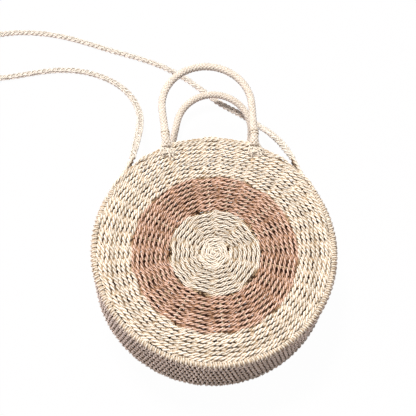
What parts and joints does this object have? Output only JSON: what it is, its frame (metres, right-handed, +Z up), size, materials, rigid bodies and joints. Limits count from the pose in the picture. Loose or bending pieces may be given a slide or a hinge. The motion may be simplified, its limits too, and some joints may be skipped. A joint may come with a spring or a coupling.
{
  "type": "round woven shoulder bag",
  "caption": "Round woven straw bag with a rose ring on its faces, a woven side band, an open mouth, rope handles and a plaited shoulder strap.",
  "frame": {"origin": "middle of the back panel's outer face, on the surface that the bag lies on", "axes": "+Z up out of the front face, +Y from the middle to the mouth and the handles, +X to the right of the front face"},
  "size_m": [0.5339, 0.5714, 0.1165],
  "materials": {
    "cream_straw": "matt twisted paper straw, plain weave",
    "rose_straw": "matt dyed twisted paper straw, plain weave",
    "stake_cord": "matt twisted paper cord",
    "stitch_cord": "matt twisted paper cord, stitched",
    "whipping_twine": "matt twisted paper twine, wound",
    "handle_rope": "round braided cotton and straw rope",
    "core_cord": "laid cotton cord",
    "strap_plait": "narrow three strand plait"
  },
  "bodies": {
    "bag": {"front_centre_weave": "cream_straw", "front_outer_weave": "cream_straw", "front_rim": "cream_straw", "front_rose_ring": "rose_straw", "front_stakes": "stake_cord", "front_seam_stitches": "stitch_cord", "front_handle_left_end": "handle_rope", "front_handle_right_end": "handle_rope", "front_handle_lashings": "stitch_cord", "back_centre_weave": "cream_straw", "back_outer_weave": "cream_straw", "back_rim": "cream_straw", "back_rose_ring": "rose_straw", "back_stakes": "stake_cord", "back_seam_stitches": "stitch_cord", "back_handle_left_end": "handle_rope", "back_handle_right_end": "handle_rope", "back_handle_lashings": "stitch_cord", "gusset_weave": "cream_straw", "gusset_stakes": "stake_cord", "right_strap_root": "cream_straw", "left_strap_root": "cream_straw", "strap_right_run": "strap_plait", "strap_far_loop": "strap_plait", "strap_left_run": "strap_plait"},
    "front_handle": {"front_handle_braid": "handle_rope", "front_handle_core": "core_cord", "front_handle_whippings": "whipping_twine"},
    "back_handle": {"back_handle_braid": "handle_rope", "back_handle_core": "core_cord", "back_handle_whippings": "whipping_twine"}
  },
  "joints": [
    {"name": "front_handle_swing", "type": "hinge", "parent": "bag", "child": "front_handle", "pos_m": [0, 0.1546, 0.1105], "axis": [1, 0, 0], "range_deg": [-22, 140]},
    {"name": "back_handle_swing", "type": "hinge", "parent": "bag", "child": "back_handle", "pos_m": [0, 0.1581, 0.0055], "axis": [1, 0, 0], "range_deg": [0, 14]}
  ]
}
